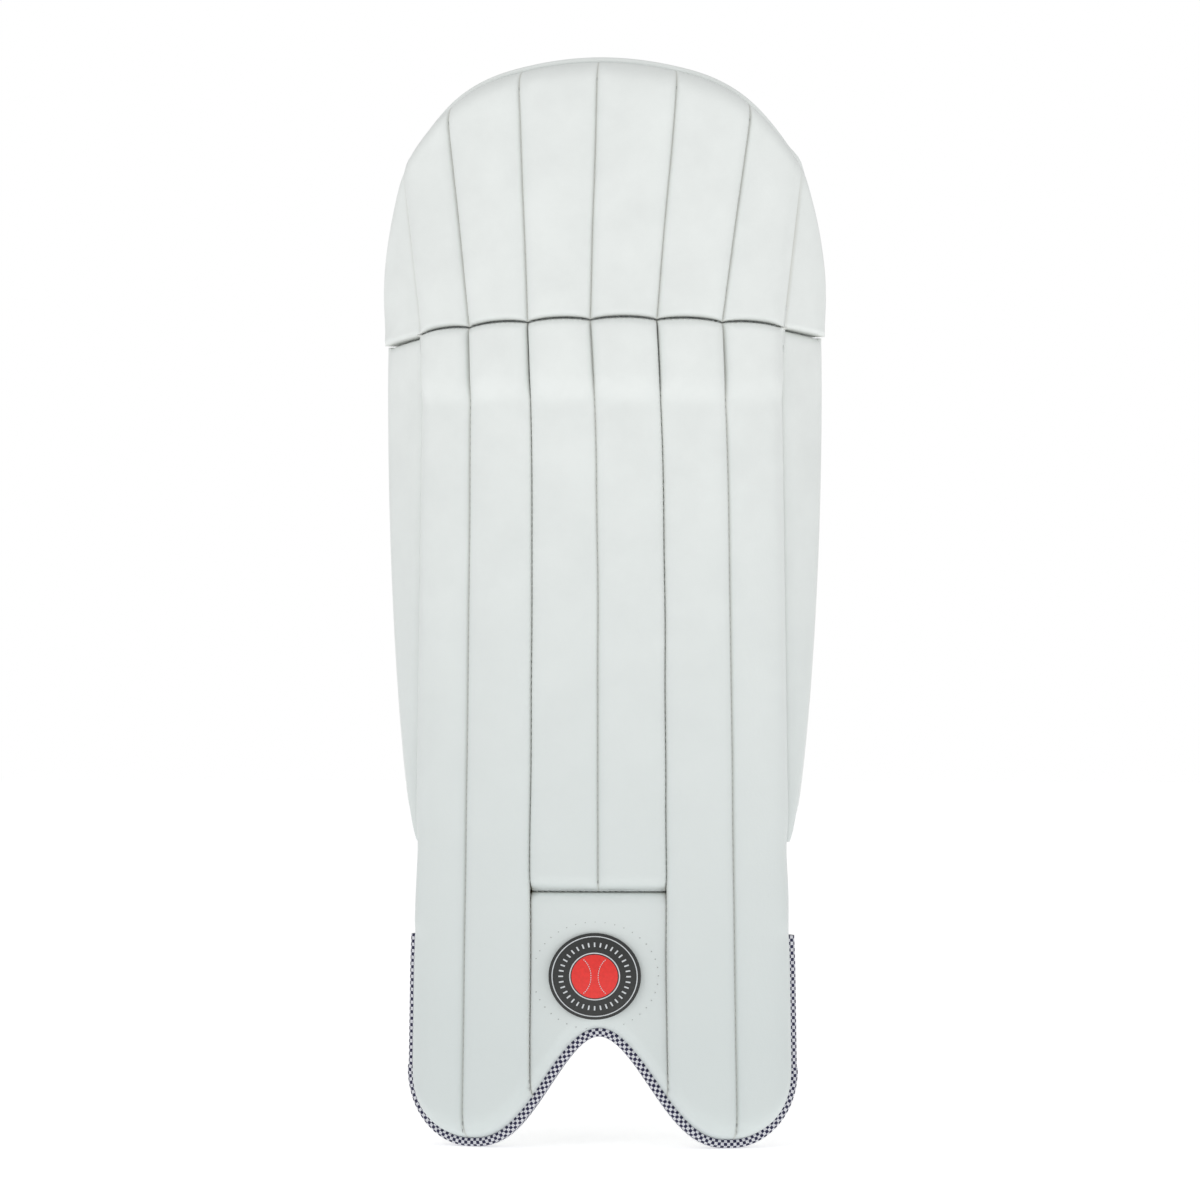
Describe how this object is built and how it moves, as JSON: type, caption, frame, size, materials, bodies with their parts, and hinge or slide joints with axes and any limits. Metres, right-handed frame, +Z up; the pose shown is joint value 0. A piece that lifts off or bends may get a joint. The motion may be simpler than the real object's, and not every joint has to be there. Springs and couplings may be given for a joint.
{
  "type": "cricket leg pad",
  "caption": "White padded wicket-keeping leg guard: ribbed shin section, hinged domed knee flap, folding side wings, instep notch and hook-and-loop straps.",
  "frame": {"origin": "on the axis of the wearer's leg, at the height of the guard's lowest points and in the middle of its width and depth", "axes": "+Z up the leg, -Y the way the wearer faces, +X to the right when looking along +Y"},
  "size_m": [0.257, 0.1275, 0.64],
  "materials": {
    "facing_leather": "satin",
    "lining_cloth": "matte",
    "foam": "matte",
    "cane": "satin",
    "check_tape": "matte",
    "edge_tape": "satin",
    "strap_webbing": "matte",
    "hook_and_loop": "matte",
    "badge_rubber": "satin",
    "badge_ball": "satin"
  },
  "bodies": {
    "shin_section": {"ankle_anchor": "strap_webbing", "ankle_loop_patch": "hook_and_loop", "badge_ball": "badge_ball", "badge_patch": "badge_rubber", "checked_binding": "check_tape", "instep_facing": "facing_leather", "instep_foam": "foam", "shin_bolster_left": "lining_cloth", "shin_bolster_right": "lining_cloth", "shin_cane_1": "cane", "shin_cane_2": "cane", "shin_cane_3": "cane", "shin_cane_4": "cane", "shin_cane_5": "cane", "shin_cane_6": "cane", "shin_facing_centre": "facing_leather", "shin_facing_left": "facing_leather", "shin_facing_right": "facing_leather", "shin_foam_1": "foam", "shin_foam_2": "foam", "shin_foam_3": "foam", "shin_foam_4": "foam", "shin_foam_5": "foam", "shin_foam_6": "foam", "shin_lining": "lining_cloth"},
    "knee_flap": {"knee_binding": "edge_tape", "knee_bolster": "lining_cloth", "knee_facing": "facing_leather", "knee_foam_1": "foam", "knee_foam_2": "foam", "knee_foam_3": "foam", "knee_foam_4": "foam", "knee_foam_5": "foam", "knee_foam_6": "foam", "knee_lining": "lining_cloth", "knee_side_facing_left": "facing_leather", "knee_side_facing_right": "facing_leather", "knee_side_foam_left": "foam", "knee_side_foam_right": "foam", "knee_side_lining_left": "lining_cloth", "knee_side_lining_right": "lining_cloth"},
    "wing_left": {"wing_binding_left": "edge_tape", "wing_facing_left": "facing_leather", "wing_foam_left": "foam", "wing_lining_left": "lining_cloth", "knee_loop_patch": "hook_and_loop", "calf_loop_patch": "hook_and_loop"},
    "wing_right": {"wing_binding_right": "edge_tape", "wing_facing_right": "facing_leather", "wing_foam_right": "foam", "wing_lining_right": "lining_cloth", "knee_anchor": "strap_webbing", "calf_anchor": "strap_webbing"},
    "knee_strap": {"knee_strap": "strap_webbing", "knee_hook_patch": "hook_and_loop"},
    "calf_strap": {"calf_strap": "strap_webbing", "calf_hook_patch": "hook_and_loop"},
    "ankle_strap": {"ankle_strap": "strap_webbing", "ankle_hook_patch": "hook_and_loop"}
  },
  "joints": [
    {"name": "knee_flap_hinge", "type": "hinge", "parent": "shin_section", "child": "knee_flap", "pos_m": [0, -0.0635, 0.484], "axis": [1, 0, 0], "range_deg": [0, 30], "stiffness_Nm_per_rad": 6},
    {"name": "wing_left_hinge", "type": "hinge", "parent": "shin_section", "child": "wing_left", "pos_m": [-0.10307, -0.01432, 0.176], "axis": [0.0159, 0.0037, 0.9999], "range_deg": [0, 25], "stiffness_Nm_per_rad": 0.8},
    {"name": "wing_right_hinge", "type": "hinge", "parent": "shin_section", "child": "wing_right", "pos_m": [0.10307, -0.01432, 0.176], "axis": [0.0159, -0.0037, -0.9999], "range_deg": [0, 25], "stiffness_Nm_per_rad": 0.8},
    {"name": "knee_strap_hinge", "type": "hinge", "parent": "wing_right", "child": "knee_strap", "pos_m": [0.11916, 0.02765, 0.425], "axis": [0, 0, -1], "range_deg": [0, 110]},
    {"name": "calf_strap_hinge", "type": "hinge", "parent": "wing_right", "child": "calf_strap", "pos_m": [0.11558, 0.01808, 0.305], "axis": [0, 0, -1], "range_deg": [0, 110]},
    {"name": "ankle_strap_hinge", "type": "hinge", "parent": "shin_section", "child": "ankle_strap", "pos_m": [0.10341, -0.00866, 0.092], "axis": [0, 0, -1], "range_deg": [0, 110]}
  ]
}
